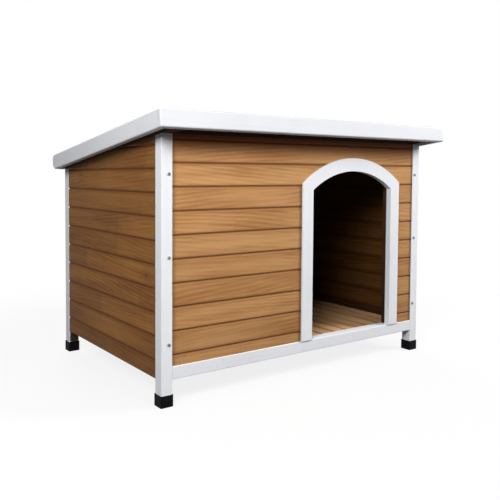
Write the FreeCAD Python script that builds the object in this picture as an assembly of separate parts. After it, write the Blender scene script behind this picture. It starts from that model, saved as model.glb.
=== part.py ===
import FreeCAD, Part
import math
import os

# A raised timber dog house for a garden: four square posts on plastic foot caps, walls of
# horizontal matchboard, an arched doorway with a painted casing, a slatted floor in two lift-out
# halves, and a shallow lean-to roof that opens on rear hinges and is held by two sliding stays.
# Millimetres. +X is to the right along the front, +Y runs to the back, +Z is up.
# The origin is on the ground, under the middle of the overall box.

# ---- carcass ----
body_width = 1076.0          # over the outer faces of the posts
body_depth = 704.0           # over the outer faces of the posts
post_size = 35.0             # square section of the posts
post_round = 2.0             # rounded long edges of posts and rails
post_groove = 6.0            # depth of the groove that takes the front and back board ends

# ---- foot caps ----
cap_height = 33.0
cap_wall = 2.4
cap_floor = 3.0
cap_clearance = 0.1
cap_round = 3.0

# ---- rails and inner framing ----
rail_bottom = 74.0           # height of the undersides of the rails and boards
rail_height = 36.4
batten = 22.0                # section of the stained stiles and side rails
top_rail_height = 36.0
stile_drop = 36.0            # how far the rear stiles run on below the boards
stile_inset = 2.5            # lower end of the rear stile, back from the post's outer face
stile_foot_width = 23.5      # section of that lower end
stile_foot_depth = 12.0
stud_width = 30.0
stud_setback = 6.0           # door studs stand this far back from the opening's edge

# ---- wall boards ----
board_thickness = 13.0
board_pitch = 66.3
board_gap = 0.4              # open joint between neighbouring boards
bevel_height = 5.0           # bevel along both long edges of a board's outer face
bevel_depth = 3.2
tongue_start = 5.0           # distance of the tongue from the outer face
tongue_thickness = 3.5
tongue_height = 5.0
tongue_clearance = 0.3
end_clearance = 0.3          # board ends, from the posts or the groove's floor
front_recess = 2.0           # front and back boards, behind the posts' outer faces
side_recess = 0.4            # side boards, behind the posts' outer faces
side_first_joint = 124.0     # height of the lowest joint on the side walls
back_rail_height = 38.0      # top rail of the back wall, at its outer face

# ---- doorway ----
door_centre = 198.0          # right of the middle of the front
door_half_width = 184.0
door_shoulder = 592.0        # height where the jamb meets the arch
door_rise = 60.6             # height of the arch's crown above its shoulders
trim_width = 43.0
trim_thickness = 6.0         # on the face of the boards
lining_thickness = 12.0      # through the thickness of the boards
lining_clearance = 0.3

# ---- floor ----
floor_top = 104.0
slat_thickness = 12.0
slats_per_panel = 9
slat_gap = 3.6
slat_round = 1.2
floor_clearance = 1.4        # between a floor panel and the walls
floor_split = 1.0            # between the two floor panels
floor_batten_width = 30.0
floor_battens_per_panel = 3
floor_batten_inset = 60.0    # from the slat ends to the outer battens
ledger_width = 20.0

# ---- roof ----
front_overhang = 72.5
side_overhang = 42.0
rear_overhang = 7.0
roof_pitch = 7.73            # degrees, falling to the back
roof_under = 760.8           # height of the roof's front lower edge
roof_thickness = 51.2        # depth of the painted fascias
fascia_thickness = 18.0
fascia_round = 5.0
fascia_tail_round = 20.0     # rounded rear ends of the side fascias
rear_fascia_round = 14.0     # upper and lower edges of the rear fascia
deck_thickness = 9.0
front_batten_width = 30.0
sheet_thickness = 1.6
sheet_inset = 10.0           # weather sheet, in from the fascias' outer faces
sheet_round = 8.0
seat_gap = 0.3               # closed roof above the wall tops

# ---- hinges ----
hinge_leaf = 1.5
knuckle_radius = 3.5
hinge_pin_radius = 1.75
pin_clearance = 0.05
knuckle_length = 20.0        # each outer knuckle, on the wall leaf
middle_knuckle = 28.8        # on the roof leaf
knuckle_gap = 0.6
hinge_drop = 6.4             # hinge axis below the roof's underside
hinge_position = 330.0       # hinge centre from the middle of the back
wall_leaf_height = 30.0
roof_leaf_height = 26.0      # above the roof's underside
pin_head_radius = 3.0
pin_head_height = 1.2

# ---- roof stays ----
stay_length = 260.0          # pivot to slider pin, and hinge axis to pivot
stay_open_angle = 55.0       # the roof's opening angle, degrees
stay_plate = 2.0
stay_arm_thickness = 3.0
stay_arm_half_width = 5.0
stay_side_gap = 0.5          # between the stay's flat pieces
stay_track_gap = 1.5         # arm to track
stay_pivot_radius = 3.0
stay_pivot_head_radius = 5.6
stay_head_height = 1.5
slider_radius = 2.5
slider_head_radius = 4.5
slot_clearance = 0.3
slot_end_room = 1.0
track_drop = 14.0            # below the roof's underside
track_rise = 20.0            # above it, on the batten's inner face
track_margin = 8.0           # metal beyond each end of the slot
bracket_half_length = 24.0
bracket_top = 2.0            # below the roof's underside
bracket_bottom = 30.0

# ---- screws ----
frame_screw_radius = 2.0
frame_screw_length = 50.0
frame_screw_head = 4.8
frame_screw_head_height = 2.2
frame_screw_crown = 1.4      # rounding of the head's rim
frame_screw_inset = 24.0     # from the post's outer face, in the middle of the stile
low_screw_rise = 98.0        # lowest frame screw, above the undersides of the rails
high_screw_drop = 109.6      # highest frame screw, below the top of its post
middle_screw_share = 0.512   # where the middle one stands between the two
screw_clearance = 0.1
small_screw_radius = 1.5
small_screw_length = 14.0
small_screw_head = 2.6
small_screw_head_height = 1.0
small_screw_spare = 0.5      # depth of a screw hole beyond the screw's tip
recess_arm = 2.4             # half length of the cross recess in a frame screw
recess_width = 1.1
recess_depth = 1.2
hinge_screw_pitch = 24.0
hinge_screws_per_leaf = 3
hinge_screw_height = 16.8    # on the roof leaf, above the roof's underside
wall_screw_drop = 18.0       # on the wall leaf, below the hinge axis
bracket_screw_offset = 17.0
bracket_screw_drop = 22.0
track_screw_height = 12.0
track_screws = 3

# ---- values that follow from the sizes above ----
pitch = math.radians(roof_pitch)
half_width = body_width / 2.0
inner_half = half_width - post_size
roof_half = half_width + side_overhang
least_tail_round = min(fascia_tail_round, rear_fascia_round)
tail_rear = least_tail_round * (math.cos(pitch) + math.sin(pitch) - 1.0)
nose_front = fascia_round * (math.cos(pitch) + math.sin(pitch) - 1.0)
rear_reach = rear_overhang + roof_thickness * math.sin(pitch) - tail_rear
front_reach = front_overhang - nose_front
front_face = -(body_depth + rear_reach - front_reach) / 2.0
back_face = front_face + body_depth
roof_front = front_face - front_overhang
roof_length = (front_overhang + body_depth + rear_overhang) / math.cos(pitch)
rail_top = rail_bottom + rail_height
frame_inner_front = front_face + post_size
frame_inner_back = back_face - post_size
board_back = front_recess + board_thickness
side_framing = half_width - side_recess - board_thickness
hinge_v = roof_length + hinge_leaf - knuckle_radius
door_radius = (door_half_width ** 2 + door_rise ** 2) / (2.0 * door_rise)
door_arc_centre = door_shoulder + door_rise - door_radius
slope_place = FreeCAD.Placement(
    FreeCAD.Vector(0.0, roof_front, roof_under),
    FreeCAD.Rotation(FreeCAD.Vector(1.0, 0.0, 0.0), -roof_pitch),
)
stay_inner = inner_half - stay_plate
arm_outer = stay_inner - stay_side_gap
arm_inner = arm_outer - stay_arm_thickness
track_outer = arm_inner - stay_track_gap
track_inner = track_outer - stay_plate
batten_inner = track_outer

parts = {}


# ---- helpers ----
REACH = 2.0 * (body_width + body_depth)   # longer than anything in the model
OVERCUT = 1.0                             # how far a cutting shape runs past a face
PARALLEL = 0.99                           # cosine above which an edge counts as parallel
TOUCH = 0.01                              # a point this near a plane is on it


def vec(x, y, z):
    return FreeCAD.Vector(x, y, z)


def block(x0, x1, y0, y1, z0, z1):
    return Part.makeBox(x1 - x0, y1 - y0, z1 - z0, vec(x0, y0, z0))


def edges_along(solid, axis):
    return [e for e in solid.Edges if abs(e.tangentAt(e.FirstParameter).dot(axis)) > PARALLEL]


def bar(x0, x1, y0, y1, z0, z1, axis, radius):
    """A box whose long edges, those along the axis, are rounded."""
    solid = block(x0, x1, y0, y1, z0, z1)
    return solid.makeFillet(radius, edges_along(solid, axis))


ALONG_X = vec(1.0, 0.0, 0.0)
ALONG_Y = vec(0.0, 1.0, 0.0)
ALONG_Z = vec(0.0, 0.0, 1.0)


def mirrored(shape):
    """The same piece on the other side of the plane x = 0."""
    return shape.mirror(vec(0.0, 0.0, 0.0), ALONG_X)


def on_slope(shape):
    """Moves a piece from the roof's own frame (x, down the slope, out of the slope) to the world."""
    placed = shape.copy()
    placed.Placement = slope_place.multiply(placed.Placement)
    return placed


def slope_point(x, v, w):
    return slope_place.multVec(vec(x, v, w))


def roof_height(y, drop):
    """Height of the roof's underside at y, less a distance measured square to the slope."""
    return roof_under - (y - roof_front) * math.tan(pitch) - drop / math.cos(pitch)


def under_roof(drop):
    """All the space below the roof's underside, less a drop square to the slope."""
    low = [vec(-REACH, -REACH, -REACH), vec(-REACH, REACH, -REACH)]
    high = [
        vec(-REACH, REACH, roof_height(REACH, drop)),
        vec(-REACH, -REACH, roof_height(-REACH, drop)),
    ]
    corners = low + high
    return Part.Face(Part.makePolygon(corners + corners[:1])).extrude(vec(2.0 * REACH, 0.0, 0.0))


def rod(centre, direction, radius, length):
    return Part.makeCylinder(radius, length, centre, direction)


def joined(solids):
    return Part.makeCompound(solids)


def add(name, shape):
    parts[name] = shape


# ---- posts and foot caps ----
def frame_screw_spots(front):
    """Three screws up each post, and the direction in which they are driven."""
    face = front_face if front else back_face
    inward = 1.0 if front else -1.0
    low = rail_bottom + low_screw_rise
    high = roof_height(face, seat_gap) - high_screw_drop
    spots = []
    for side in (-1.0, 1.0):
        for share in (0.0, middle_screw_share, 1.0):
            x = side * (half_width - frame_screw_inset)
            spots.append((vec(x, face, low + share * (high - low)), inward))
    return spots


def frame_screw_holes():
    holes = []
    for spot, inward in frame_screw_spots(True) + frame_screw_spots(False):
        holes.append(rod(spot, vec(0.0, inward, 0.0), frame_screw_radius + screw_clearance,
                         frame_screw_length + screw_clearance))
    return joined(holes)


def post(front):
    """Left-hand post: rounded, grooved for the boards, topped off to the roof's slope."""
    y0 = front_face if front else frame_inner_back
    solid = bar(-half_width, -inner_half, y0, y0 + post_size, cap_floor, roof_under,
                ALONG_Z, post_round)
    if front:
        groove_y0 = front_face + front_recess - end_clearance
    else:
        groove_y0 = back_face - board_back - end_clearance
    groove_y1 = groove_y0 + board_thickness + 2.0 * end_clearance
    groove = block(-inner_half - post_groove, -inner_half, groove_y0, groove_y1, rail_top, roof_under)
    return solid.cut(groove).common(under_roof(seat_gap)).cut(frame_screw_holes())


def foot_cap(front):
    """Left-hand cap: a square cup that the post stands in."""
    y0 = front_face if front else frame_inner_back
    outer = bar(-half_width - cap_wall, -inner_half + cap_wall, y0 - cap_wall,
                y0 + post_size + cap_wall, 0.0, cap_height, ALONG_Z, cap_round)
    gap = cap_clearance
    socket = bar(-half_width - gap, -inner_half + gap, y0 - gap, y0 + post_size + gap,
                 cap_floor, cap_height + cap_floor, ALONG_Z, post_round)
    return outer.cut(socket)


def build_posts():
    for end, front in (("front", True), ("rear", False)):
        left = post(front)
        add("post_" + end + "_left", left)
        add("post_" + end + "_right", mirrored(left))
        cap = foot_cap(front)
        add("foot_cap_" + end + "_left", cap)
        add("foot_cap_" + end + "_right", mirrored(cap))


# ---- wall boards ----
def board(outer_point, inward, along, length, z0):
    """One matchboard: bevelled outer edges, a tongue on top and a groove underneath."""
    top = board_pitch - board_gap
    t0 = tongue_start
    t1 = tongue_start + tongue_thickness
    c = tongue_clearance
    outline = [
        (0.0, bevel_height), (0.0, top - bevel_height), (bevel_depth, top), (t0, top),
        (t0, top + tongue_height), (t1, top + tongue_height), (t1, top), (board_thickness, top),
        (board_thickness, 0.0), (t1 + c, 0.0), (t1 + c, tongue_height + c),
        (t0 - c, tongue_height + c), (t0 - c, 0.0), (bevel_depth, 0.0),
    ]
    points = [outer_point + inward * t + vec(0.0, 0.0, z0 + h) for t, h in outline]
    return Part.Face(Part.makePolygon(points + points[:1])).extrude(along * length)


def board_stack(outer_point, inward, along, length, first_joint, bottom, top, drop):
    """Boards laid up from one joint, trimmed to the bottom line and to the top or the slope."""
    window = block(-REACH, REACH, -REACH, REACH, bottom, top)
    if drop is not None:
        window = window.common(under_roof(drop))
    boards = []
    z0 = first_joint - math.ceil((first_joint - bottom) / board_pitch) * board_pitch
    while z0 < top:
        piece = board(outer_point, inward, along, length, z0).common(window)
        boards.extend(piece.Solids)
        z0 += board_pitch
    return boards


# ---- doorway outlines ----
def shoulder_height(offset):
    """Where the upright and the arch meet, on the doorway's outline moved outwards."""
    half = door_half_width + offset
    return door_arc_centre + math.sqrt((door_radius + offset) ** 2 - half ** 2)


def door_wire(offset):
    """The doorway's outline, moved outwards by an offset, in the plane of the posts' faces."""
    half = door_half_width + offset
    radius = door_radius + offset
    shoulder = shoulder_height(offset)
    y = front_face
    left_foot = vec(door_centre - half, y, rail_top)
    right_foot = vec(door_centre + half, y, rail_top)
    left = vec(door_centre - half, y, shoulder)
    right = vec(door_centre + half, y, shoulder)
    crown = vec(door_centre, y, door_arc_centre + radius)
    edges = [
        Part.makeLine(left_foot, left),
        Part.Arc(left, crown, right).toShape(),
        Part.makeLine(right, right_foot),
        Part.makeLine(right_foot, left_foot),
    ]
    return Part.Wire(edges)


def door_prism(offset, depth_from, depth_to):
    """The doorway's outline as a solid, between two depths behind the posts' front face."""
    face = Part.Face(door_wire(offset))
    face.translate(vec(0.0, depth_from, 0.0))
    return face.extrude(vec(0.0, depth_to - depth_from, 0.0))


def build_front_boards():
    cutter = door_prism(lining_thickness + lining_clearance, -REACH, REACH)
    length = 2.0 * (inner_half + post_groove - end_clearance)
    start = vec(-length / 2.0, front_face + front_recess, 0.0)
    first_joint = rail_bottom + board_pitch
    boards = board_stack(start, ALONG_Y, ALONG_X, length, first_joint, rail_top, roof_under, seat_gap)
    left = []
    right = []
    over = []
    for piece in boards:
        solids = piece.cut(cutter).Solids
        if len(solids) == 1:
            over.extend(solids)
            continue
        for solid in solids:
            side = left if solid.CenterOfMass.x < door_centre else right
            side.append(solid)
    add("front_boards_left", joined(left))
    add("front_boards_right", joined(right))
    add("front_boards_over_door", joined(over))


def build_door_casing():
    """An L-shaped casing: a flat trim on the boards and a lining through their thickness."""
    board_face = front_recess
    trim = door_prism(trim_width, board_face - trim_thickness, board_face)
    lining = door_prism(lining_thickness, board_face - trim_thickness, board_back)
    opening = door_prism(0.0, -REACH, REACH)
    ring = trim.fuse(lining).cut(opening).removeSplitter()
    outer_half = door_half_width + trim_width
    outer_shoulder = shoulder_height(trim_width)
    low = [
        (-REACH, outer_shoulder), (-outer_half, outer_shoulder),
        (-door_half_width, door_shoulder), (door_half_width, door_shoulder),
        (outer_half, outer_shoulder), (REACH, outer_shoulder),
    ]
    above = [(REACH, REACH), (-REACH, REACH)]
    points = [vec(door_centre + x, -REACH, z) for x, z in low + above]
    mitre = Part.Face(Part.makePolygon(points + points[:1])).extrude(vec(0.0, 2.0 * REACH, 0.0))
    add("door_arch", ring.common(mitre))
    for solid in ring.cut(mitre).Solids:
        side = "left" if solid.CenterOfMass.x < door_centre else "right"
        add("door_jamb_" + side, solid)


def build_front_frame():
    rail = bar(-inner_half, inner_half, front_face, frame_inner_front, rail_bottom, rail_top,
               ALONG_X, post_round)
    add("front_bottom_rail", rail)
    y0 = front_face + board_back
    lowest = roof_height(frame_inner_front, seat_gap) - top_rail_height
    top_rail = block(-inner_half, inner_half, y0, frame_inner_front, lowest, roof_under)
    add("front_top_rail", top_rail.common(under_roof(seat_gap)))
    for side, sign in (("left", -1.0), ("right", 1.0)):
        near = door_centre + sign * (door_half_width + stud_setback)
        far = near + sign * stud_width
        stud = block(min(near, far), max(near, far), y0, frame_inner_front, rail_top, lowest)
        add("door_stud_" + side, stud)


def build_back_wall():
    rail = bar(-inner_half, inner_half, frame_inner_back, back_face, rail_bottom, rail_top,
               ALONG_X, post_round)
    add("back_bottom_rail", rail)
    lowest = roof_height(back_face, seat_gap) - back_rail_height
    top_rail = block(-inner_half, inner_half, frame_inner_back, back_face, lowest, roof_under)
    add("back_top_rail", top_rail.common(under_roof(seat_gap)))
    length = 2.0 * (inner_half + post_groove - end_clearance)
    start = vec(-length / 2.0, back_face - front_recess, 0.0)
    first_joint = rail_bottom + board_pitch
    boards = board_stack(start, ALONG_Y * -1.0, ALONG_X, length, first_joint, rail_top, lowest, None)
    add("back_boards", joined(boards))


# ---- side walls, drawn on the left and mirrored ----
def side_boards():
    length = body_depth - 2.0 * post_size - 2.0 * end_clearance
    start = vec(-half_width + side_recess, frame_inner_front + end_clearance, 0.0)
    boards = board_stack(start, ALONG_X, ALONG_Y, length, side_first_joint, rail_bottom,
                         roof_under, seat_gap)
    return joined(boards)


def side_stile(front):
    """Upright against the post; the rear one runs on below the boards, as a narrower foot."""
    y0 = frame_inner_front if front else frame_inner_back - batten
    upright = block(-side_framing, -inner_half, y0, y0 + batten, rail_bottom, roof_under)
    if not front:
        foot_x = -half_width + stile_inset
        foot = block(foot_x, foot_x + stile_foot_width, frame_inner_back - stile_foot_depth,
                     frame_inner_back, rail_bottom - stile_drop, rail_bottom)
        upright = upright.fuse(foot).removeSplitter()
    return upright.common(under_roof(seat_gap)).cut(frame_screw_holes())


def side_top_rail():
    y0 = frame_inner_front + batten
    y1 = frame_inner_back - batten
    tall = block(-side_framing, -inner_half, y0, y1, rail_bottom, roof_under)
    return tall.common(under_roof(seat_gap)).cut(under_roof(seat_gap + top_rail_height))


def side_bottom_rail():
    y0 = frame_inner_front + batten
    y1 = frame_inner_back - batten
    return block(-side_framing, -inner_half, y0, y1, rail_bottom, rail_top)


def build_side_walls():
    drawn = {
        "side_boards": side_boards(),
        "side_stile_front": side_stile(True),
        "side_stile_rear": side_stile(False),
        "side_top_rail": side_top_rail(),
        "side_bottom_rail": side_bottom_rail(),
    }
    for name, shape in drawn.items():
        add(name + "_left", shape)
        add(name + "_right", mirrored(shape))


def frame_screw(spot, inward):
    """A screw with a domed head and a cross recess, its head standing on the spot."""
    direction = vec(0.0, inward, 0.0)
    head = rod(spot, direction * -1.0, frame_screw_head, frame_screw_head_height)
    crown = [e for e in head.Edges if e.Curve.TypeId == "Part::GeomCircle"
             and abs(e.CenterOfMass.y - spot.y) > TOUCH]
    head = head.makeFillet(frame_screw_crown, crown)
    screw = head.fuse(rod(spot, direction, frame_screw_radius, frame_screw_length))
    face = spot.y - inward * frame_screw_head_height
    y0 = min(face, face + inward * recess_depth)
    for wide, tall in ((recess_arm, recess_width / 2.0), (recess_width / 2.0, recess_arm)):
        arm = block(spot.x - wide, spot.x + wide, y0, y0 + recess_depth,
                    spot.z - tall, spot.z + tall)
        screw = screw.cut(arm)
    return screw


def build_frame_screws():
    spots = frame_screw_spots(True) + frame_screw_spots(False)
    add("frame_screws", joined([frame_screw(spot, inward) for spot, inward in spots]))


# ---- floor ----
def build_floor():
    slat_under = floor_top - slat_thickness
    for end, y0 in (("front", frame_inner_front), ("rear", frame_inner_back - ledger_width)):
        add("floor_ledger_" + end,
            block(-inner_half, inner_half, y0, y0 + ledger_width, rail_bottom, slat_under))
    x0 = -inner_half + floor_clearance
    x1 = -floor_split / 2.0
    y0 = frame_inner_front + floor_clearance
    y1 = frame_inner_back - floor_clearance
    width = (x1 - x0 + slat_gap) / slats_per_panel - slat_gap
    slats = []
    for index in range(slats_per_panel):
        left = x0 + index * (width + slat_gap)
        slats.append(bar(left, left + width, y0, y1, slat_under, floor_top, ALONG_Y, slat_round))
    battens = []
    first = y0 + floor_batten_inset
    step = (y1 - y0 - 2.0 * floor_batten_inset - floor_batten_width) / (floor_battens_per_panel - 1)
    for index in range(floor_battens_per_panel):
        near = first + index * step
        battens.append(block(x0, x1, near, near + floor_batten_width, rail_bottom, slat_under))
    for name, solids in (("floor_slats", slats), ("floor_battens", battens)):
        add(name + "_left", joined(solids))
        add(name + "_right", mirrored(joined(solids)))


# ---- roof ----
def fascia_front():
    """Front fascia: full width, rounded on every edge but those of its back face."""
    solid = block(-roof_half, roof_half, 0.0, fascia_thickness, 0.0, roof_thickness)
    edges = [e for e in solid.Edges if e.CenterOfMass.y < fascia_thickness - TOUCH]
    return solid.makeFillet(fascia_round, edges)


def tail_edges(solid):
    """The two long edges at the roof's rear end."""
    return [e for e in edges_along(solid, ALONG_X) if abs(e.CenterOfMass.y - roof_length) < TOUCH]


def fascia_side():
    """Left fascia: full length behind the front one, with a rounded tail."""
    solid = block(-roof_half, -roof_half + fascia_thickness, fascia_thickness, roof_length,
                  0.0, roof_thickness)
    solid = solid.makeFillet(fascia_tail_round, tail_edges(solid))
    outer = [e for e in solid.Edges if abs(e.CenterOfMass.x + roof_half) < TOUCH
             and e.CenterOfMass.y > fascia_thickness + TOUCH]
    return solid.makeFillet(fascia_round, outer)


def fascia_rear():
    solid = block(-roof_half + fascia_thickness, roof_half - fascia_thickness,
                  roof_length - fascia_thickness, roof_length, 0.0, roof_thickness)
    return solid.makeFillet(rear_fascia_round, tail_edges(solid))


def build_roof():
    add("roof_fascia_front", on_slope(fascia_front()))
    side = on_slope(fascia_side())
    add("roof_fascia_left", side)
    add("roof_fascia_right", mirrored(side))
    add("roof_fascia_rear", on_slope(fascia_rear()))
    inner = roof_half - fascia_thickness
    v0 = fascia_thickness
    v1 = roof_length - fascia_thickness
    deck_under = roof_thickness - deck_thickness
    add("roof_deck", on_slope(block(-inner, inner, v0, v1, deck_under, roof_thickness)))
    over = roof_half - sheet_inset
    sheet = bar(-over, over, sheet_inset, roof_length - fascia_tail_round - post_round,
                roof_thickness, roof_thickness + sheet_thickness, ALONG_Z, sheet_round)
    add("roof_sheet", on_slope(sheet))
    side_batten = on_slope(block(-half_width, -batten_inner, v0, v1, 0.0, deck_under))
    add("roof_batten_left", side_batten)
    add("roof_batten_right", mirrored(side_batten))
    wall_v = front_overhang / math.cos(pitch)
    front_batten = block(-batten_inner, batten_inner, wall_v, wall_v + front_batten_width,
                         0.0, deck_under)
    add("roof_batten_front", on_slope(front_batten))


# ---- hinges, in the world frame for the wall leaf and in the roof's frame for the roof leaf ----
def hinge_axis():
    return slope_point(0.0, hinge_v, -hinge_drop)


def hinge_x_spans():
    """Left outer knuckle, middle knuckle and right outer knuckle, about the hinge's middle."""
    half_middle = middle_knuckle / 2.0
    inner = half_middle + knuckle_gap
    outer = inner + knuckle_length
    return (-outer, -inner), (-half_middle, half_middle), (inner, outer)


def screw_offsets(count, spacing):
    return [(index - (count - 1) / 2.0) * spacing for index in range(count)]


def wall_leaf(centre_x):
    axis = hinge_axis()
    spans = hinge_x_spans()
    x0 = centre_x + spans[0][0]
    x1 = centre_x + spans[-1][1]
    leaf = block(x0, x1, back_face, back_face + hinge_leaf, axis.z - wall_leaf_height, axis.z)
    notch = block(centre_x + spans[0][1], centre_x + spans[-1][0], back_face - OVERCUT,
                  back_face + REACH, axis.z - knuckle_radius - knuckle_gap, axis.z + OVERCUT)
    leaf = leaf.cut(notch)
    for span in (spans[0], spans[-1]):
        start = vec(centre_x + span[0], axis.y, axis.z)
        leaf = leaf.fuse(rod(start, ALONG_X, knuckle_radius, span[1] - span[0]))
    leaf = leaf.cut(rod(vec(x0 - OVERCUT, axis.y, axis.z), ALONG_X,
                        hinge_pin_radius + pin_clearance, x1 - x0 + 2.0 * OVERCUT))
    for offset in screw_offsets(hinge_screws_per_leaf, hinge_screw_pitch):
        spot = vec(centre_x + offset, back_face - OVERCUT, axis.z - wall_screw_drop)
        leaf = leaf.cut(rod(spot, ALONG_Y, small_screw_radius + screw_clearance, REACH))
    return leaf.removeSplitter()


def roof_leaf(centre_x):
    first, middle, last = hinge_x_spans()
    leaf = block(centre_x + first[0], centre_x + last[1], roof_length, roof_length + hinge_leaf,
                 -hinge_drop, roof_leaf_height)
    clear = knuckle_radius + knuckle_gap - hinge_drop
    for low, high in ((first[0] - OVERCUT, middle[0]), (middle[1], last[1] + OVERCUT)):
        leaf = leaf.cut(block(centre_x + low, centre_x + high, roof_length - OVERCUT,
                              roof_length + REACH, -hinge_drop - OVERCUT, clear))
    start = vec(centre_x + middle[0], hinge_v, -hinge_drop)
    leaf = leaf.fuse(rod(start, ALONG_X, knuckle_radius, middle[1] - middle[0]))
    leaf = leaf.cut(rod(start - ALONG_X * OVERCUT, ALONG_X, hinge_pin_radius + pin_clearance,
                        middle_knuckle + 2.0 * OVERCUT))
    for offset in screw_offsets(hinge_screws_per_leaf, hinge_screw_pitch):
        spot = vec(centre_x + offset, roof_length - OVERCUT, hinge_screw_height)
        leaf = leaf.cut(rod(spot, ALONG_Y, small_screw_radius + screw_clearance, REACH))
    return on_slope(leaf.removeSplitter())


def hinge_pin(centre_x):
    axis = hinge_axis()
    spans = hinge_x_spans()
    start = vec(centre_x + spans[0][0], axis.y, axis.z)
    length = spans[-1][1] - spans[0][0]
    pin = rod(start, ALONG_X, hinge_pin_radius, length)
    head = rod(start - ALONG_X * pin_head_height, ALONG_X, pin_head_radius, pin_head_height)
    tail = rod(start + ALONG_X * length, ALONG_X, pin_head_radius, pin_head_height)
    return pin.fuse(head).fuse(tail).removeSplitter()


def build_hinges():
    pins = []
    for side, sign in (("left", -1.0), ("right", 1.0)):
        centre_x = sign * hinge_position
        add("hinge_wall_leaf_" + side, wall_leaf(centre_x))
        add("hinge_roof_leaf_" + side, roof_leaf(centre_x))
        pins.append(hinge_pin(centre_x))
    add("hinge_pins", joined(pins))


# ---- roof stays, drawn on the left in the roof's frame and mirrored ----
def small_screw(spot, inward):
    """Pan-head screw whose head sits on a plate's outer face at the spot."""
    shank = rod(spot, inward, small_screw_radius, small_screw_length)
    head = rod(spot, inward * -1.0, small_screw_head, small_screw_head_height)
    return shank.fuse(head)


def small_hole(spot, inward):
    depth = small_screw_length + small_screw_spare
    return rod(spot - inward * OVERCUT, inward, small_screw_radius + screw_clearance,
               depth + OVERCUT)


def stay_pivot_v():
    return hinge_v - stay_length


def bracket_screw_spots():
    x = -stay_inner
    return [vec(x, stay_pivot_v() + side * bracket_screw_offset, -bracket_screw_drop)
            for side in (-1.0, 1.0)]


def track_span():
    """Slot ends, down the slope, for the slider pin at the open and closed roof."""
    near = 2.0 * stay_length * math.cos(math.radians(stay_open_angle))
    far = 2.0 * stay_length
    return hinge_v - far - slot_end_room, hinge_v - near + slot_end_room


def track_screw_spots():
    v0, v1 = track_span()
    middle = (v0 + v1) / 2.0
    spacing = (v1 - v0) / track_screws
    return [vec(-track_inner, middle + offset, track_screw_height)
            for offset in screw_offsets(track_screws, spacing)]


def stay_bracket():
    v = stay_pivot_v()
    plate = block(-inner_half, -stay_inner, v - bracket_half_length, v + bracket_half_length,
                  -bracket_bottom, -bracket_top)
    plate = plate.makeFillet(stay_arm_half_width, edges_along(plate, ALONG_X))
    start = vec(-stay_inner, v, -hinge_drop)
    reach = stay_side_gap + stay_arm_thickness + slot_clearance
    plate = plate.fuse(rod(start, ALONG_X, stay_pivot_radius, reach))
    plate = plate.fuse(rod(start + ALONG_X * reach, ALONG_X, stay_pivot_head_radius, stay_head_height))
    for spot in bracket_screw_spots():
        plate = plate.cut(small_hole(spot, ALONG_X * -1.0))
    return on_slope(plate.removeSplitter())


def stay_arm():
    pivot_v = stay_pivot_v()
    tip_v = pivot_v - stay_length
    w = -hinge_drop
    half = stay_arm_half_width
    arm = block(-arm_outer, -arm_inner, tip_v, pivot_v, w - half, w + half)
    for v in (tip_v, pivot_v):
        arm = arm.fuse(rod(vec(-arm_outer, v, w), ALONG_X, half, stay_arm_thickness))
    arm = arm.cut(rod(vec(-arm_outer - OVERCUT, pivot_v, w), ALONG_X,
                      stay_pivot_radius + pin_clearance, stay_arm_thickness + 2.0 * OVERCUT))
    reach = stay_track_gap + stay_plate + stay_side_gap
    slider = rod(vec(-arm_inner, tip_v, w), ALONG_X, slider_radius, reach)
    cap = rod(vec(-arm_inner + reach, tip_v, w), ALONG_X, slider_head_radius, stay_head_height)
    return on_slope(arm.fuse(slider).fuse(cap).removeSplitter())


def stay_track():
    v0, v1 = track_span()
    reach = slider_radius + track_margin
    plate = block(-track_outer, -track_inner, v0 - reach, v1 + reach, -track_drop, track_rise)
    plate = plate.makeFillet(slider_head_radius, edges_along(plate, ALONG_X))
    half = slider_radius + slot_clearance
    x0 = -track_outer - OVERCUT
    x1 = -track_inner + OVERCUT
    slot = block(x0, x1, v0, v1, -hinge_drop - half, -hinge_drop + half)
    for v in (v0, v1):
        slot = slot.fuse(rod(vec(x0, v, -hinge_drop), ALONG_X, half, x1 - x0))
    plate = plate.cut(slot)
    for spot in track_screw_spots():
        plate = plate.cut(small_hole(spot, ALONG_X * -1.0))
    return on_slope(plate.removeSplitter())


def build_stays():
    for name, shape in (("stay_bracket", stay_bracket()), ("stay_arm", stay_arm()),
                        ("stay_track", stay_track())):
        add(name + "_left", shape)
        add(name + "_right", mirrored(shape))


# ---- small screws of the hinges and stays, and their holes in the timber ----
def wall_hinge_spots():
    axis = hinge_axis()
    spots = []
    for side in (-1.0, 1.0):
        for offset in screw_offsets(hinge_screws_per_leaf, hinge_screw_pitch):
            spots.append(vec(side * hinge_position + offset, back_face + hinge_leaf,
                             axis.z - wall_screw_drop))
    return spots


def roof_hinge_spots():
    spots = []
    for side in (-1.0, 1.0):
        for offset in screw_offsets(hinge_screws_per_leaf, hinge_screw_pitch):
            spots.append(vec(side * hinge_position + offset, roof_length + hinge_leaf,
                             hinge_screw_height))
    return spots


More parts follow.
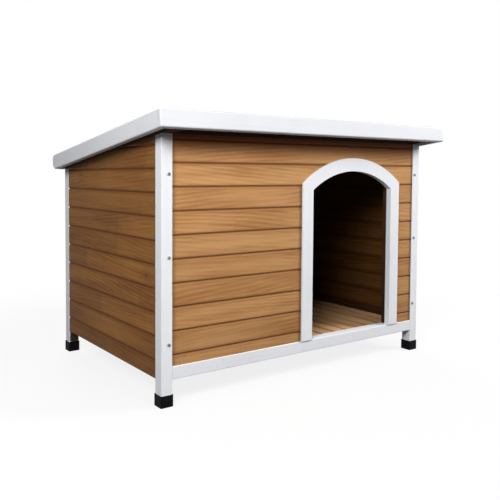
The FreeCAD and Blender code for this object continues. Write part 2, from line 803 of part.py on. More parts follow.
def build_small_screws():
    back = ALONG_Y * -1.0
    outward = ALONG_X * -1.0
    bracket = on_slope(joined([small_screw(s, outward) for s in bracket_screw_spots()]))
    bracket_holes = on_slope(joined([small_hole(s, outward) for s in bracket_screw_spots()]))
    track = on_slope(joined([small_screw(s, outward) for s in track_screw_spots()]))
    track_holes = on_slope(joined([small_hole(s, outward) for s in track_screw_spots()]))
    wall = [small_screw(s, back) for s in wall_hinge_spots()]
    roof = on_slope(joined([small_screw(s, back) for s in roof_hinge_spots()]))
    add("wall_hardware_screws", joined(wall + [bracket, mirrored(bracket)]))
    add("roof_hardware_screws", joined([roof, track, mirrored(track)]))
    parts["back_top_rail"] = parts["back_top_rail"].cut(
        joined([small_hole(s, back) for s in wall_hinge_spots()]))
    parts["roof_fascia_rear"] = parts["roof_fascia_rear"].cut(
        on_slope(joined([small_hole(s, back) for s in roof_hinge_spots()])))
    for side, cutter in (("left", bracket_holes), ("right", mirrored(bracket_holes))):
        name = "side_top_rail_" + side
        parts[name] = parts[name].cut(cutter)
    for side, cutter in (("left", track_holes), ("right", mirrored(track_holes))):
        name = "roof_batten_" + side
        parts[name] = parts[name].cut(cutter)


def report_places():
    """Prints the joint axes in metres and the overall box in millimetres."""
    axis = hinge_axis() * 0.001
    pivot = slope_point(0.0, stay_pivot_v(), -hinge_drop) * 0.001
    print("roof hinge axis  y %.5f  z %.5f" % (axis.y, axis.z))
    print("stay pivot       y %.5f  z %.5f" % (pivot.y, pivot.z))
    print("stay arm plane   |x| %.4f" % ((arm_outer + arm_inner) * 0.0005))
    box = joined(list(parts.values())).BoundBox
    print("box  x %.2f %.2f  y %.2f %.2f  z %.2f %.2f"
          % (box.XMin, box.XMax, box.YMin, box.YMax, box.ZMin, box.ZMax))


def main():
    build_posts()
    build_front_boards()
    build_door_casing()
    build_front_frame()
    build_back_wall()
    build_side_walls()
    build_frame_screws()
    build_floor()
    build_roof()
    build_hinges()
    build_stays()
    build_small_screws()
    os.makedirs("parts", exist_ok=True)
    for name, shape in parts.items():
        if not shape.isValid():
            print("not valid:", name)
        shape.exportStep("parts/" + name + ".step")
        print("%-26s solids %2d  volume %10.1f" % (name, len(shape.Solids), shape.Volume))
    print("nodes", len(parts))
    report_places()


main()
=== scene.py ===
import bpy
import bmesh
import math
from mathutils import Matrix, Vector


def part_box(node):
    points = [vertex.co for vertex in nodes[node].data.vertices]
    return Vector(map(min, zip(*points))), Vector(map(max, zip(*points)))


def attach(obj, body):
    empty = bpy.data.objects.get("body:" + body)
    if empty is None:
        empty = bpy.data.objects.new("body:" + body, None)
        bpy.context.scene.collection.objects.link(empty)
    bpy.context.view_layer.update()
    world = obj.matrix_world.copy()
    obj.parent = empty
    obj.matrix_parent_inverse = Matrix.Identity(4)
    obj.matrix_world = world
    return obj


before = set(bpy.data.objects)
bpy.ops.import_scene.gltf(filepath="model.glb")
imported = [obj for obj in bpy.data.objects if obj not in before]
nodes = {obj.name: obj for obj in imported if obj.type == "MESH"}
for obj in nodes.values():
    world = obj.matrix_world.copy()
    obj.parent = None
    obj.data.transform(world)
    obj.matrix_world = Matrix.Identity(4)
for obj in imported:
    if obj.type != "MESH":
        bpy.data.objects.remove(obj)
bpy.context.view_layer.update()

# A raised timber dog house. Everything is in metres, in the frame of the solids: +X to the right
# along the front, +Y to the back, +Z up.
ALONG_X, ALONG_Y, ALONG_Z = 0, 1, 2

# ---- sizes that the finishes need, as they are in the solids ----
BOARD_PITCH = 0.0663
FRONT_JOINT = 0.1403            # height of a joint between two boards of the front and back walls
SIDE_JOINT = 0.124              # and of the side walls
SLAT_PITCH = 0.05608
SLAT_LEFT = -0.5016             # left edges of the first slats of the two floor halves
SLAT_RIGHT = 0.0005
DECK_PITCH = 0.0985             # boards of the roof's lining
DECK_JOINT = -0.40
BOARD_END_X = 0.503             # where the front and back boards run into the posts
SIDE_FRONT_Y = -0.2870          # ends of the side boards
SIDE_REAR_Y = 0.3466
FRONT_INNER = (0.309, 0.316)    # just inside and just outside a wall's inner face, from the middle
BACK_INNER = (0.370, 0.377)
SIDE_INNER = (0.527, 0.534)
DOOR_CENTRE = 0.198
CASING_HALF = 0.227             # half the width over the door casing
CASING_TOP = 0.592              # top of the casing's straight part
ROOF_PITCH = math.radians(7.73)
ROOF_FRONT = Vector((0.0, -0.39463, 0.7608))   # front lower edge of the roof
ROOF_THICKNESS = 0.0512
SHEET_THICKNESS = 0.0016        # the roofing felt

# ---- colours, linear ----
PAINT = (0.80, 0.815, 0.845, 1.0)
PAINT_SHADE = (0.72, 0.74, 0.78, 1.0)
FRONT_LIGHT = (0.545, 0.287, 0.114, 1.0)
FRONT_DARK = (0.315, 0.133, 0.038, 1.0)
FRONT_STAIN = (0.270, 0.114, 0.034, 1.0)       # in the joints
TOP_PAINTED_SHADE = (0.150, 0.040, 0.009, 1.0)         # painted shadow under the fascia
SIDE_LIGHT = (0.298, 0.130, 0.032, 1.0)
SIDE_DARK = (0.148, 0.052, 0.009, 1.0)
SIDE_STAIN = (0.145, 0.048, 0.009, 1.0)
# inner timber: dark brown stain, made near-black as painted shade under the roof and inside the
# house
INNER_LIGHT = (0.045, 0.022, 0.010, 1.0)
INNER_DARK = (0.016, 0.008, 0.004, 1.0)
FLOOR_LIGHT = (0.70, 0.420, 0.205, 1.0)
FLOOR_DARK = (0.42, 0.215, 0.093, 1.0)
FLOOR_STAIN = (0.055, 0.022, 0.008, 1.0)
END_SHADE = (0.150, 0.080, 0.035, 1.0)         # painted shadow where the boards' ends meet posts and casing
KNOT = (0.10, 0.035, 0.012, 1.0)
PLASTIC = (0.003, 0.003, 0.004, 1.0)
SCREW_METAL = (0.20, 0.22, 0.25, 1.0)
ZINC = (0.58, 0.58, 0.56, 1.0)
ZINC_YELLOW = (0.60, 0.55, 0.44, 1.0)
FELT = (0.115, 0.122, 0.130, 1.0)
FELT_LIGHT = (0.30, 0.31, 0.32, 1.0)
FELT_DARK = (0.045, 0.048, 0.052, 1.0)


# ---- short names for building materials and the world ----
class Graph:
    """The node tree of a material or a world, emptied."""

    def __init__(self, owner):
        owner.use_nodes = True
        self.tree = owner.node_tree
        self.tree.nodes.clear()

    def node(self, kind, **settings):
        made = self.tree.nodes.new(kind)
        for key, value in settings.items():
            setattr(made, key, value)
        return made

    def feed(self, socket, value):
        if isinstance(value, bpy.types.NodeSocket):
            self.tree.links.new(value, socket)
        else:
            socket.default_value = value

    def math(self, operation, a, b=None):
        made = self.node("ShaderNodeMath", operation=operation)
        for socket, value in zip(made.inputs, (a, b)):
            if value is not None:
                self.feed(socket, value)
        return made.outputs[0]

    def add(self, a, b):
        return self.math("ADD", a, b)

    def times(self, a, b):
        return self.math("MULTIPLY", a, b)

    def minus(self, a, b):
        return self.math("SUBTRACT", a, b)

    def split(self, vector):
        made = self.node("ShaderNodeSeparateXYZ")
        self.feed(made.inputs[0], vector)
        return made.outputs

    def point(self, x, y, z=0.0):
        made = self.node("ShaderNodeCombineXYZ")
        for socket, value in zip(made.inputs, (x, y, z)):
            self.feed(socket, value)
        return made.outputs[0]

    def noise(self, vector, scale=1.0, detail=3.0, roughness=0.55):
        made = self.node("ShaderNodeTexNoise")
        self.feed(made.inputs["Vector"], vector)
        self.feed(made.inputs["Scale"], scale)
        self.feed(made.inputs["Detail"], detail)
        self.feed(made.inputs["Roughness"], roughness)
        return made.outputs["Fac"]

    def chance(self, a, b):
        """A fixed random colour for each pair of whole numbers."""
        made = self.node("ShaderNodeTexWhiteNoise", noise_dimensions="2D")
        self.feed(made.inputs["Vector"], self.point(a, b))
        return self.split(made.outputs["Color"])

    def smooth(self, value, low, high, to_low=0.0, to_high=1.0):
        made = self.node("ShaderNodeMapRange", interpolation_type="SMOOTHSTEP")
        for name, number in (("Value", value), ("From Min", low), ("From Max", high),
                             ("To Min", to_low), ("To Max", to_high)):
            self.feed(made.inputs[name], number)
        return made.outputs["Result"]

    def mix(self, factor, a, b):
        made = self.node("ShaderNodeMix", data_type="RGBA")
        self.feed(made.inputs[0], factor)
        self.feed(made.inputs[6], a)
        self.feed(made.inputs[7], b)
        return made.outputs[2]

    def scaled(self, colour, factor):
        """A colour times a number."""
        made = self.node("ShaderNodeVectorMath", operation="SCALE")
        self.feed(made.inputs[0], colour)
        self.feed(made.inputs["Scale"], factor)
        return made.outputs[0]

    def mixed_shader(self, factor, a, b):
        made = self.node("ShaderNodeMixShader")
        for socket, value in zip(made.inputs, (factor, a, b)):
            self.feed(socket, value)
        return made.outputs[0]

    def seen(self):
        """1 for a ray that looks: from the camera, off a shiny face or through a clear one."""
        ray = self.node("ShaderNodeLightPath").outputs
        return self.math("MAXIMUM", ray["Is Camera Ray"],
                         self.math("MAXIMUM", ray["Is Glossy Ray"], ray["Is Transmission Ray"]))


class Surface(Graph):
    """A material whose pattern is fixed to the object's own coordinates."""

    def __init__(self, name):
        self.material = bpy.data.materials.new(name)
        super().__init__(self.material)
        self.place = self.node("ShaderNodeTexCoord").outputs["Object"]

    def bump(self, height, distance, strength):
        made = self.node("ShaderNodeBump")
        self.feed(made.inputs["Height"], height)
        self.feed(made.inputs["Distance"], distance)
        self.feed(made.inputs["Strength"], strength)
        return made.outputs[0]

    def finish(self, colour, roughness, normal=None, metallic=0.0, specular=0.5):
        shader = self.node("ShaderNodeBsdfPrincipled")
        self.feed(shader.inputs["Base Color"], colour)
        self.feed(shader.inputs["Roughness"], roughness)
        self.feed(shader.inputs["Metallic"], metallic)
        self.feed(shader.inputs["Specular IOR Level"], specular)
        if normal is not None:
            self.feed(shader.inputs["Normal"], normal)
        out = self.node("ShaderNodeOutputMaterial")
        self.tree.links.new(shader.outputs[0], out.inputs["Surface"])
        return self.material


# ---- timber ----
RING_SPACING = 0.0125
RING_CORE = 0.012               # how far the board was sawn from the heart of the tree
RING_TAPER = 7.0                # nested arches per metre along the board
RING_WANDER = 3.2               # how many rings the figure strays, slowly and quickly
RING_WAVER = 0.35
KNOT_GRID = 8.5                 # cells per metre, of which a few hold a knot
KNOT_PUSH = 1.3                 # rings that sweep round a knot
RUN_SHIFT = 9.0                 # boards are cut from different stretches of the trunk
PIECE_LENGTH = 0.41             # finger-jointed lengths within a board
PIECES_MOST = 31.0              # more than the pieces in any board
RING_SHARE = 0.50               # how far rings, pores, streaks, board and blotches turn the tone
PORE_SHARE = 0.55
STREAK_SHARE = 1.5
BOARD_SHARE = 0.30
BLOTCH_SHARE = 1.1
MIDDLE_TONE = 0.45
JOINT_REACH = 0.0120            # how far stain and shade run from a joint
JOINT_GROOVE = 0.0006           # and how near to it they are full
JOINT_SWAY = 0.0034             # unevenness of the stain's edge
END_REACH = 0.0170              # how far the painted shadow runs from the boards' ends, and how near to them it is full
END_GROOVE = 0.0015
END_FADE = 0.012                # height over which such a line fades out at its top
INDOORS_SHADE = 0.30             # painted shade: the walls' inner faces, darkened inside the house
TOP_SHADE_HEIGHTS = (0.680, 0.750)       # heights between which the front boards take a painted shadow under the fascia
FOOT_DARKENING = (0.600, 0.100)      # heights between which all walls turn darker towards the ground


def knots(s, run, inside, index, share):
    """Round knots in a few cells of a grid: the knot itself, and the grain swept round it."""
    cell = s.node("ShaderNodeTexVoronoi", voronoi_dimensions="2D", feature="F1")
    s.feed(cell.inputs["Scale"], KNOT_GRID)
    s.feed(cell.inputs["Vector"], s.point(s.times(run, 0.62), s.add(inside, s.times(index, 0.31))))
    picked = s.smooth(s.split(cell.outputs["Color"])[0], 1.0 - share, 1.02 - share)
    around = s.times(picked, s.smooth(cell.outputs["Distance"], 0.26, 0.05))
    core = s.times(picked, s.smooth(cell.outputs["Distance"], 0.060, 0.032))
    return core, around


def growth_rings(s, run, inside, index, depth, centre, turn, around):
    """Arches and streaks where the board's face cuts the growth rings."""
    off = s.add(s.minus(inside, centre), s.times(depth, 0.4))
    heart = s.math("SQRT", s.add(s.times(off, off), RING_CORE ** 2))
    wander = s.noise(s.point(s.times(run, 1.7), s.times(inside, 7.0), index), 1.0, 1.5)
    waver = s.noise(s.point(s.times(run, 13.0), s.times(inside, 55.0), index), 1.0, 2.0)
    either_way = s.minus(s.times(s.math("GREATER_THAN", turn, 0.5), 2.0), 1.0)
    taper = s.times(either_way, RING_TAPER)
    phase = s.add(s.math("DIVIDE", heart, RING_SPACING), s.times(run, taper))
    phase = s.add(phase, s.times(wander, RING_WANDER))
    phase = s.add(phase, s.times(waver, RING_WAVER))
    phase = s.add(phase, s.times(around, KNOT_PUSH))
    broad_wave = s.add(s.times(s.math("SINE", s.times(phase, 2.0 * math.pi)), 0.5), 0.5)
    fine_wave = s.add(s.times(s.math("SINE", s.times(phase, 6.0 * math.pi)), 0.5), 0.5)
    ring = s.add(s.times(s.math("POWER", broad_wave, 1.4), 0.80), s.times(fine_wave, 0.20))
    patchy = s.smooth(s.noise(s.point(s.times(run, 3.0), s.times(inside, 9.0), index), 1.0, 2.0),
                      0.38, 0.62, 0.30, 1.0)
    return s.times(ring, patchy)


def board_edges(s, place, height, lines):
    """How near a point is to the upright lines of painted shadow where the boards meet posts and
    casing.

    Each line is a place along the board, the height at which it stops, and how dark it is."""
    near = 0.0
    for at, top, strength in lines:
        gap = s.math("ABSOLUTE", s.minus(place, at))
        line = s.times(s.smooth(gap, END_REACH, END_GROOVE, 0.0, strength),
                       s.smooth(height, top + END_FADE, top))
        near = s.math("MAXIMUM", near, line)
    return near


def timber(name, along, across, light, dark, joint, pitch, seed, stain=None, joint_depth=0.0,
           lines=(), inner_face=None, top_shade=None, foot_tone=1.0, pieces=0.03, knotty=0.07,
           gloss=0.50, specular=0.16):
    """Stained softwood: grain, knots, tone from board to board, darker stain in the joints."""
    s = Surface(name)
    xyz = s.split(s.place)
    third = xyz[3 - along - across]
    height = s.math("DIVIDE", s.minus(xyz[across], joint), pitch)
    index = s.math("FLOOR", height)
    inside = s.times(s.minus(height, index), pitch)
    board = s.chance(index, seed)
    run = s.add(xyz[along], s.times(board[0], RUN_SHIFT))
    length = s.math("FLOOR", s.math("DIVIDE", run, PIECE_LENGTH))
    lot = s.chance(s.add(s.times(index, PIECES_MOST), length), seed + 5.0)
    core, around = knots(s, run, inside, index, knotty)
    centre = s.times(s.add(s.times(board[1], 1.2), -0.1), pitch)
    ring = growth_rings(s, run, inside, index, third, centre, board[2], around)

    # fine pores, broader streaks along the board, and blotches that ignore the boards
    pores = s.noise(s.point(s.times(run, 9.0), s.times(inside, 420.0), s.times(third, 420.0)),
                    1.0, 4.0, 0.65)
    streak = s.noise(s.point(s.times(run, 2.2), s.times(inside, 48.0), index), 1.0, 3.0)
    blotch = s.noise(s.point(s.times(run, 4.5), s.times(xyz[across], 12.0), third), 1.0, 3.0)

    grain = s.times(s.minus(ring, 0.35), RING_SHARE)
    for pattern, share in ((pores, PORE_SHARE), (streak, STREAK_SHARE), (board[2], BOARD_SHARE),
                           (blotch, BLOTCH_SHARE)):
        grain = s.add(grain, s.times(s.minus(pattern, 0.5), share))
    grain = s.math("MINIMUM", s.math("MAXIMUM", s.add(grain, MIDDLE_TONE), 0.0), 1.0)
    colour = s.mix(grain, light, dark)
    colour = s.mix(s.times(around, 0.35), colour, dark)
    colour = s.mix(s.times(core, 0.75), colour, KNOT)
    colour = s.scaled(colour, s.add(1.0, s.times(s.minus(lot[0], 0.5), pieces * 2.0)))
    if stain is not None:
        uneven = s.minus(s.noise(s.point(s.times(run, 16.0), index), 1.0, 3.0), 0.5)
        edge = s.add(s.math("MINIMUM", inside, s.minus(pitch, inside)), s.times(uneven, JOINT_SWAY))
        soaked = s.times(s.smooth(edge, JOINT_REACH, JOINT_GROOVE), joint_depth)
        colour = s.mix(soaked, colour, stain)
    if lines:
        # painted shadow along the boards' ends, beside posts and casing
        colour = s.mix(board_edges(s, xyz[along], xyz[across], lines), colour, END_SHADE)
    # painted shadow: the front boards darken towards the top, under the fascia
    if top_shade is not None:
        colour = s.mix(s.smooth(xyz[ALONG_Z], *top_shade), colour, TOP_PAINTED_SHADE)
    # all walls darker towards the ground
    if foot_tone < 1.0:
        colour = s.scaled(colour, s.smooth(xyz[ALONG_Z], *FOOT_DARKENING, 1.0, foot_tone))
    # painted shade on the walls' inner faces, inside the house
    if inner_face is not None:
        low, high = inner_face
        indoors = s.smooth(s.math("ABSOLUTE", third), high, low)
        colour = s.scaled(colour, s.add(1.0, s.times(indoors, INDOORS_SHADE - 1.0)))

    relief = s.minus(s.times(pores, 0.45), s.times(ring, 0.35))
    relief = s.add(relief, s.times(streak, 0.5))
    normal = s.bump(s.minus(relief, s.times(core, 0.6)), 0.0007, 0.55)
    rough = s.add(gloss, s.times(pores, 0.22))
    return s.finish(colour, rough, normal, specular=specular)


# ---- white paint ----
FASCIA_SHADE = 0.85              # painted shade: the fascias' paint is made greyer than the same paint elsewhere
SIDE_FASCIA_SHADE = 0.91
SPECK_TONE = 0.93


def paint(name, along, tone=1.0):
    """Satin white paint, brushed along the piece, with the grain just showing through."""
    s = Surface(name)
    xyz = s.split(s.place)
    others = [axis for axis in (ALONG_X, ALONG_Y, ALONG_Z) if axis != along]
    a, b = xyz[others[0]], xyz[others[1]]

    def lines(lengthwise, crosswise):
        return s.noise(s.point(s.times(xyz[along], lengthwise), s.times(a, crosswise),
                               s.times(b, crosswise)), 1.0, 3.0)

    brush = lines(7.0, 420.0)
    grain = lines(2.0, 120.0)
    cloud = s.noise(s.place, 5.0, 3.0)
    speck = s.noise(s.place, 260.0, 2.0)
    shade = s.add(s.times(s.smooth(grain, 0.45, 0.75), 0.35),
                  s.times(s.smooth(cloud, 0.40, 0.70), 0.45))
    colour = s.mix(shade, PAINT, PAINT_SHADE)
    colour = s.scaled(colour, s.smooth(speck, 0.66, 0.74, tone, SPECK_TONE * tone))
    height = s.add(s.times(brush, 0.6), s.times(grain, 0.6))
    height = s.add(height, s.times(s.noise(s.place, 70.0, 2.0), 0.35))
    normal = s.bump(height, 0.0004, 0.5)
    rough = s.add(0.50, s.times(brush, 0.16))
    return s.finish(colour, rough, normal, specular=0.14)


# ---- plastic, metal and felt ----
LAP_AT = 0.40                   # where the upper sheet laps over the lower, back from the front
GRIT_SCALE = 620.0              # mineral grains per metre


def plastic():
    s = Surface("moulded_black")
    fine = s.noise(s.place, 900.0, 2.0)
    cloud = s.noise(s.place, 40.0, 3.0)
    colour = s.scaled(PLASTIC[:3], s.smooth(cloud, 0.3, 0.7, 0.7, 1.6))
    rough = s.add(0.55, s.times(cloud, 0.2))
    return s.finish(colour, rough, s.bump(fine, 0.0002, 0.6), specular=0.06)


def metal(name, colour, other, grain_axis, rough_low):
    s = Surface(name)
    xyz = s.split(s.place)
    stretch = [700.0, 700.0, 700.0]
    stretch[grain_axis] = 30.0
    brushed = s.noise(s.point(*[s.times(xyz[i], stretch[i]) for i in range(3)]), 1.0, 3.0)
    cloud = s.noise(s.place, 60.0, 4.0)
    tint = s.mix(s.smooth(cloud, 0.35, 0.7), colour, other)
    tint = s.scaled(tint, s.smooth(brushed, 0.2, 0.8, 0.85, 1.1))
    rough = s.add(rough_low, s.times(cloud, 0.25))
    return s.finish(tint, rough, s.bump(brushed, 0.0001, 0.5), metallic=0.9)


def felt():
    s = Surface("mineral_felt")
    grit = s.node("ShaderNodeTexVoronoi", feature="F1")
    s.feed(grit.inputs["Vector"], s.place)
    s.feed(grit.inputs["Scale"], GRIT_SCALE)
    pick = s.split(grit.outputs["Color"])[0]
    colour = s.mix(s.smooth(pick, 0.45, 0.95), FELT, FELT_LIGHT)
    colour = s.mix(s.smooth(pick, 0.28, 0.05), colour, FELT_DARK)
    cloud = s.noise(s.place, 4.0, 4.0)
    xyz = s.split(s.place)
    run = s.noise(s.point(s.times(xyz[0], 26.0), s.times(xyz[1], 2.2), 0.0), 1.0, 3.0)
    colour = s.scaled(colour, s.times(s.smooth(cloud, 0.3, 0.7, 0.82, 1.15),
                                      s.smooth(run, 0.3, 0.7, 0.90, 1.08)))
    wobble = s.times(s.minus(s.noise(s.place, 9.0, 2.0), 0.5), 0.006)
    past = s.add(s.minus(xyz[1], ROOF_FRONT.y + LAP_AT), wobble)
    lap = s.smooth(past, 0.0, 0.0015, 1.0, 0.0)
    line = s.smooth(s.math("ABSOLUTE", past), 0.0, 0.0035, 0.35, 1.0)
    colour = s.scaled(colour, line)
    height = s.add(s.times(grit.outputs["Distance"], 0.6), s.times(lap, 1.5))
    height = s.add(height, s.times(s.noise(s.place, 14.0, 3.0), 2.0))
    return s.finish(colour, 0.88, s.bump(height, 0.0012, 0.7), specular=0.25)


# ---- finishes of the solids ----
def dress(material, *names):
    for name in names:
        slots = nodes[name].data.materials
        slots.clear()
        slots.append(material)


def both(*names):
    return [name + side for name in names for side in ("_left", "_right")]


FULL_HEIGHT = 9.0               # a line that stops nowhere below the roof
# how dark the painted shadow lines beside posts and casing are
LINE_TONE = 0.60
DARK_LINE_TONE = 0.90           # beside the right front post, which shades the boards
wall = dict(pitch=BOARD_PITCH, joint_depth=0.90, foot_tone=0.85)
stained = dict(light=FRONT_LIGHT, dark=FRONT_DARK, stain=FRONT_STAIN, joint=FRONT_JOINT,
               knotty=0.02, **wall)
post_lines = ((-BOARD_END_X, FULL_HEIGHT, LINE_TONE), (BOARD_END_X, FULL_HEIGHT, DARK_LINE_TONE))
casing_lines = ((DOOR_CENTRE - CASING_HALF, CASING_TOP, LINE_TONE),
                (DOOR_CENTRE + CASING_HALF, CASING_TOP, LINE_TONE))
side_lines = ((SIDE_FRONT_Y, FULL_HEIGHT, LINE_TONE), (SIDE_REAR_Y, FULL_HEIGHT, LINE_TONE))
dress(timber("front_boards", ALONG_X, ALONG_Z, seed=3.0, lines=post_lines + casing_lines,
             inner_face=FRONT_INNER, top_shade=TOP_SHADE_HEIGHTS, **stained),
      "front_boards_left", "front_boards_right", "front_boards_over_door")
dress(timber("back_boards", ALONG_X, ALONG_Z, seed=8.0, lines=post_lines, inner_face=BACK_INNER,
             **stained), "back_boards")
dress(timber("side_boards", ALONG_Y, ALONG_Z, SIDE_LIGHT, SIDE_DARK, SIDE_JOINT, seed=11.0,
             stain=SIDE_STAIN, lines=side_lines, inner_face=SIDE_INNER, pieces=0.16,
             specular=0.12, **wall), *both("side_boards"))
for side, first, seed in (("left", SLAT_LEFT, 23.0), ("right", SLAT_RIGHT, 29.0)):
    slats = "floor_slats_" + side
    dress(timber(slats, ALONG_Y, ALONG_X, FLOOR_LIGHT, FLOOR_DARK, first, SLAT_PITCH, seed,
                 stain=FLOOR_STAIN, joint_depth=0.5), slats)

# pieces inside: for the single ones, joint and pitch only keep any joint clear of them
# their near-black tone is dark stain plus painted shade, under the roof and inside the house
inner = dict(light=INNER_LIGHT, dark=INNER_DARK, gloss=0.62)
dress(timber("inner_along_x", ALONG_X, ALONG_Z, joint=-0.013, pitch=0.91, seed=41.0, **inner),
      "front_top_rail", "floor_ledger_front", "floor_ledger_rear", "roof_batten_front",
      *both("floor_battens"))
dress(timber("inner_along_y", ALONG_Y, ALONG_X, joint=-0.913, pitch=0.71, seed=43.0, **inner),
      *both("side_top_rail", "side_bottom_rail", "roof_batten"))
dress(timber("inner_along_z", ALONG_Z, ALONG_X, joint=-0.907, pitch=0.73, seed=47.0, **inner),
      *both("door_stud", "side_stile_front", "side_stile_rear"))
dress(timber("roof_lining", ALONG_X, ALONG_Y, joint=DECK_JOINT, pitch=DECK_PITCH, seed=53.0,
             stain=INNER_DARK, joint_depth=0.9, **inner), "roof_deck")

dress(paint("paint_along_x", ALONG_X), "front_bottom_rail", "back_bottom_rail", "back_top_rail",
      "door_arch")
# the fascias' paint is darkened as painted shade
dress(paint("paint_on_fascia", ALONG_X, FASCIA_SHADE), "roof_fascia_front", "roof_fascia_rear")
dress(paint("paint_on_side_fascia", ALONG_Y, SIDE_FASCIA_SHADE), *both("roof_fascia"))
dress(paint("paint_along_z", ALONG_Z), *both("post_front", "post_rear", "door_jamb"))
dress(plastic(), *both("foot_cap_front", "foot_cap_rear"))
screw_steel = metal("screw_steel", SCREW_METAL, SCREW_METAL, ALONG_Z, 0.35)
zinc = metal("zinc_plate", ZINC, ZINC_YELLOW, ALONG_X, 0.28)
dress(screw_steel, "frame_screws")
dress(zinc, "hinge_pins", "wall_hardware_screws", "roof_hardware_screws",
      *both("hinge_wall_leaf", "hinge_roof_leaf", "stay_bracket", "stay_arm", "stay_track"))
dress(felt(), "roof_sheet")


# ---- small fixings, which the solids leave out ----
HEAD_RINGS = ((1.0, 0.0), (0.92, 0.55), (0.6, 0.88))   # radius and height of a head's rings
HEAD_STEPS = 12
BRAD_RADIUS, BRAD_RISE = 0.0012, 0.0004
BRAD_AT = (0.26, 0.74)          # the two brads' places across a board
BRAD_TOP = 0.022                # the highest brad, down from the stile's top
CLOUT_RADIUS, CLOUT_RISE = 0.0042, 0.0009
CLOUT_EDGE = 0.014              # in from the sheet's edge
CLOUT_SPACING = 0.095
CLOUT_ABOVE_LAP = 0.018


def nail_heads(name, spots, radius, rise, material, body):
    """One mesh of low domed heads; each spot is a point on a face and the face's normal."""
    mesh = bmesh.new()
    for point, normal in spots:
        side = normal.orthogonal().normalized()
        other = normal.cross(side)
        loops = []
        for share, lift in HEAD_RINGS:
            loop = []
            for k in range(HEAD_STEPS):
                angle = 2.0 * math.pi * k / HEAD_STEPS
                arm = side * math.cos(angle) + other * math.sin(angle)
                loop.append(mesh.verts.new(point + arm * (radius * share) + normal * (rise * lift)))
            loops.append(loop)
        top = mesh.verts.new(point + normal * rise)
        for k in range(HEAD_STEPS):
            after = (k + 1) % HEAD_STEPS
            for low, high in zip(loops, loops[1:]):
                mesh.faces.new((low[k], low[after], high[after], high[k]))
            mesh.faces.new((loops[-1][k], loops[-1][after], top))
    data = bpy.data.meshes.new(name)
    mesh.to_mesh(data)
    mesh.free()
    for face in data.polygons:
        face.use_smooth = True
    data.materials.append(material)
    piece = bpy.data.objects.new(name, data)
    bpy.context.scene.collection.objects.link(piece)
    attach(piece, body)


def on_slope(x, down, out):
    """A point given in the roof's own directions."""
    along = Vector((0.0, math.cos(ROOF_PITCH), -math.sin(ROOF_PITCH)))
    square = Vector((0.0, math.sin(ROOF_PITCH), math.cos(ROOF_PITCH)))
    return ROOF_FRONT + Vector((x, 0.0, 0.0)) + along * down + square * out


def board_nails():
    """Two brads at each end of every side board, into the stiles."""
    spots = []
    for side in ("left", "right"):
        low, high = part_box("side_boards_" + side)
        face = low.x if side == "left" else high.x
        normal = Vector((-1.0 if side == "left" else 1.0, 0.0, 0.0))
        for end in ("front", "rear"):
            a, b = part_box("side_stile_" + end + "_" + side)
            y = (a.y + b.y) / 2.0
            top = b.z - BRAD_TOP
            joint = SIDE_JOINT
            while joint < top:
                heights = [joint + share * BOARD_PITCH for share in BRAD_AT]
                spots += [(Vector((face, y, z)), normal) for z in heights if z < top]
                joint += BOARD_PITCH
    return spots


def sheet_nails():
    """Clout nails round the edge of the roof sheet and along its lap."""
    low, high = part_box("roof_sheet")
    half = high.x - CLOUT_EDGE
    start = (low.y - ROOF_FRONT.y) / math.cos(ROOF_PITCH) + CLOUT_EDGE
    length = (high.y - low.y) / math.cos(ROOF_PITCH) - 2.0 * CLOUT_EDGE
    lap = LAP_AT / math.cos(ROOF_PITCH) - CLOUT_ABOVE_LAP
    out = ROOF_THICKNESS + SHEET_THICKNESS
    normal = on_slope(0.0, 0.0, 1.0) - on_slope(0.0, 0.0, 0.0)
    across = round(2.0 * half / CLOUT_SPACING)
    down = round(length / CLOUT_SPACING)
    spots = []
    for k in range(across + 1):
        x = -half + 2.0 * half * k / across
        for v in (start, start + length, lap):
            spots.append((on_slope(x, v, out), normal))
    for k in range(1, down):
        for x in (-half, half):
            spots.append((on_slope(x, start + length * k / down, out), normal))
    return spots


nail_heads("side_board_brads", board_nails(), BRAD_RADIUS, BRAD_RISE, screw_steel, "carcass")
nail_heads("roof_sheet_nails", sheet_nails(), CLOUT_RADIUS, CLOUT_RISE, zinc, "roof")


# ---- floor, world and light ----
WHITE = (1.0, 1.0, 1.0, 1.0)
FLOOR_HALF = 60.0
FLOOR_SHADE = 0.11              # what the floor sends back up to the object
FLOOR_SEEN_SHADE = 0.80         # what it takes the object's shadow with, where it is seen
FLOOR_GLOW = 0.84               # share of plain white in it, near the object
SHADOW_NEAR = 0.8               # the floor turns all white between these distances
SHADOW_FAR = 1.9
WORLD_TINT = (0.95, 0.97, 1.0, 1.0)
WORLD_LIGHT = 0.06


def backdrop_material():
    """Pale floor: seen directly it is white but for the shadow near the object."""
    s = Surface("pale_floor")
    seen = s.seen()
    shade = s.add(FLOOR_SHADE, s.times(seen, FLOOR_SEEN_SHADE - FLOOR_SHADE))
    plain = s.node("ShaderNodeBsdfDiffuse")
    s.feed(plain.inputs["Color"], s.point(shade, shade, shade))
    glow = s.node("ShaderNodeEmission")
    s.feed(glow.inputs["Color"], WHITE)
    s.feed(glow.inputs["Strength"], 1.0)
    xyz = s.split(s.place)
    away = s.math("SQRT", s.add(s.times(xyz[0], xyz[0]), s.times(xyz[1], xyz[1])))
    white = s.times(seen, s.smooth(away, SHADOW_NEAR, SHADOW_FAR, FLOOR_GLOW, 1.0))
    out = s.node("ShaderNodeOutputMaterial")
    s.feed(out.inputs["Surface"], s.mixed_shader(white, plain.outputs[0], glow.outputs[0]))
    return s.material


floor_mesh = bpy.data.meshes.new("floor")
corners = [(x * FLOOR_HALF, y * FLOOR_HALF, 0.0) for x, y in ((-1, -1), (1, -1), (1, 1), (-1, 1))]
floor_mesh.from_pydata(corners, [], [(0, 1, 2, 3)])
floor_mesh.materials.append(backdrop_material())
floor = bpy.data.objects.new("floor", floor_mesh)
bpy.context.scene.collection.objects.link(floor)

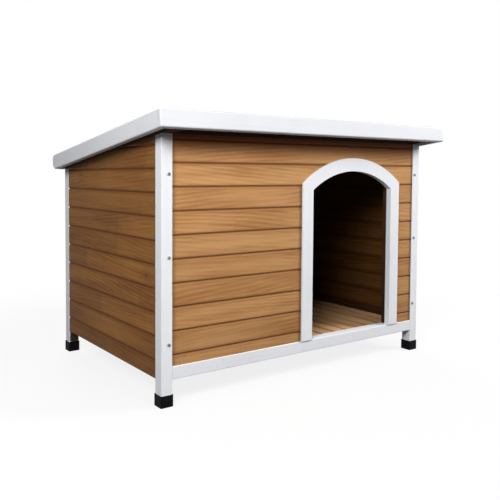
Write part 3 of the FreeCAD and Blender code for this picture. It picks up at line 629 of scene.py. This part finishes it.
world = bpy.data.worlds.new("studio")
bpy.context.scene.world = world
sky = Graph(world)
dim = sky.node("ShaderNodeBackground")
sky.feed(dim.inputs["Color"], WORLD_TINT)
sky.feed(dim.inputs["Strength"], WORLD_LIGHT)
bright = sky.node("ShaderNodeBackground")
sky.feed(bright.inputs["Color"], WHITE)
sky.feed(bright.inputs["Strength"], 1.0)
sky_out = sky.node("ShaderNodeOutputWorld")
sky.feed(sky_out.inputs["Surface"],
         sky.mixed_shader(sky.seen(), dim.outputs[0], bright.outputs[0]))

AIM = Vector((0.0, 0.0, 0.40))     # all lamps point at the middle of the house


def lamp(name, azimuth, elevation, distance, width, height, watts, colour):
    """Area lamp. Azimuth 0 is straight in front, and positive towards the right-hand side."""
    a, e = math.radians(azimuth), math.radians(elevation)
    back = Vector((math.sin(a) * math.cos(e), -math.cos(a) * math.cos(e), math.sin(e)))
    data = bpy.data.lights.new(name, "AREA")
    data.shape = "RECTANGLE"
    data.size = width
    data.size_y = height
    data.energy = watts
    data.color = colour
    made = bpy.data.objects.new(name, data)
    made.location = AIM + back * distance
    made.rotation_mode = "QUATERNION"
    made.rotation_quaternion = back.to_track_quat("Z", "Y")
    bpy.context.scene.collection.objects.link(made)


lamp("right", 56.0, 28.0, 3.6, 1.2, 1.2, 102.0, (1.0, 0.99, 0.98))
lamp("front", 5.0, 26.0, 3.4, 1.0, 1.0, 14.0, (1.0, 1.0, 1.0))
lamp("left", -51.0, 28.0, 3.0, 1.0, 1.0, 70.0, (1.0, 1.0, 1.0))
lamp("top", 0.0, 78.0, 3.6, 2.4, 2.0, 8.0, (1.0, 1.0, 1.0))
lamp("rear", 170.0, 32.0, 4.2, 2.6, 2.0, 100.0, (1.0, 1.0, 1.0))

# ---- camera, as worked out from the photograph ----
IMAGE = 500.0                   # width and height of the picture, in pixels
FOCAL = 629.226                 # focal length, in pixels
AXIS_PX = (215.0, 203.308)      # where the optical axis meets the picture
CAMERA_AT = Vector((-1.3745, -1.7991, 0.6414))
YAW, DOWN, ROLL = 0.60043, 0.046542, 0.004197
SENSOR = 36.0

forward = Vector((math.sin(YAW) * math.cos(DOWN), math.cos(YAW) * math.cos(DOWN), -math.sin(DOWN)))
level = Vector((math.cos(YAW), -math.sin(YAW), 0.0))
above = level.cross(forward)
right = level * math.cos(ROLL) + above * math.sin(ROLL)
up = above * math.cos(ROLL) - level * math.sin(ROLL)
camera_data = bpy.data.cameras.new("camera")
camera_data.sensor_fit = "HORIZONTAL"
camera_data.sensor_width = SENSOR
camera_data.lens = FOCAL * SENSOR / IMAGE
camera_data.shift_x = (IMAGE / 2.0 - AXIS_PX[0]) / IMAGE
camera_data.shift_y = (AXIS_PX[1] - IMAGE / 2.0) / IMAGE
camera_data.clip_start = 0.05
camera_data.clip_end = 200.0
camera = bpy.data.objects.new("camera", camera_data)
turn = Matrix((right, up, -forward)).transposed()
camera.matrix_world = Matrix.Translation(CAMERA_AT) @ turn.to_4x4()
bpy.context.scene.collection.objects.link(camera)
bpy.context.scene.camera = camera
bpy.context.scene.view_settings.view_transform = "Standard"
